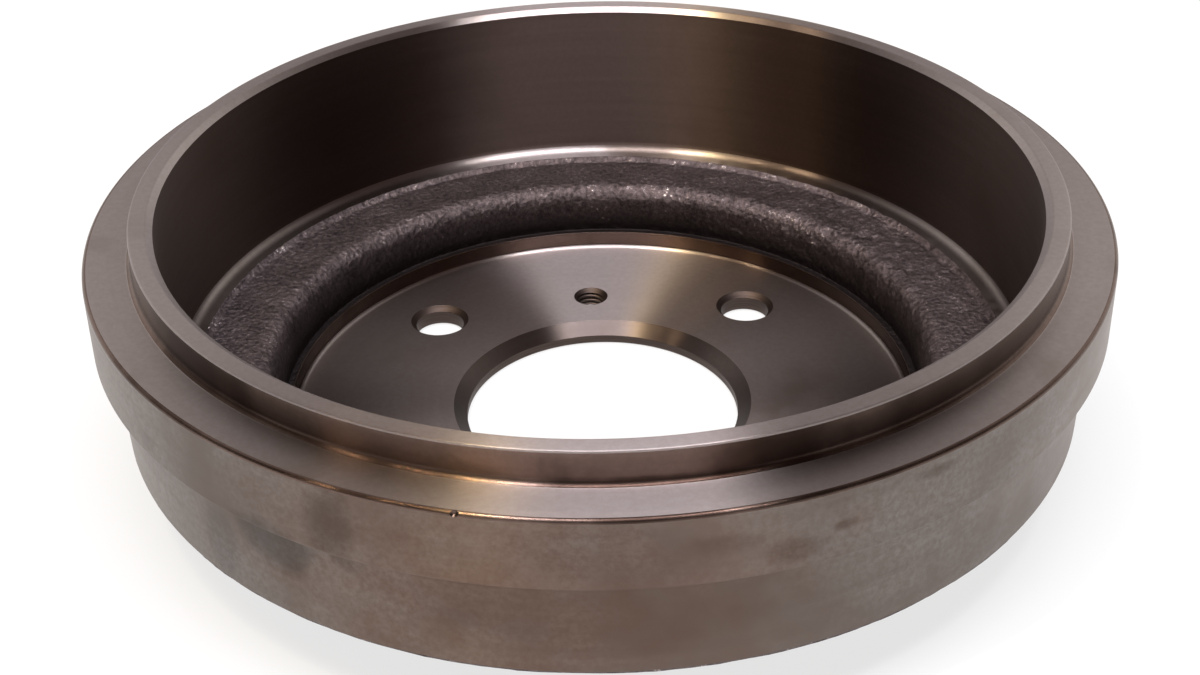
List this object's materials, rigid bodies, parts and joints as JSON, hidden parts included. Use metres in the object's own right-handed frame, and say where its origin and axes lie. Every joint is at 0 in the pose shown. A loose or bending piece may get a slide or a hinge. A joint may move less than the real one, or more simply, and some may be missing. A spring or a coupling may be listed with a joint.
{
  "type": "brake drum",
  "caption": "Cast-iron brake drum: wide turned bore for the shoes, flange and lip round the mouth, stepped hat with centre bore, stud holes and jacking threads.",
  "frame": {"origin": "centre of the wheel face, the flat underside of the hat, on which the drum stands", "axes": "+Z along the axle from the wheel face to the open mouth, +Y through a jacking hole, stud holes halfway between the axes"},
  "size_m": [0.236, 0.236, 0.0655],
  "materials": {
    "brake_drum": "turned, with rough-cast web and hat"
  },
  "bodies": {
    "root": {"brake_drum": "brake_drum"}
  },
  "joints": []
}
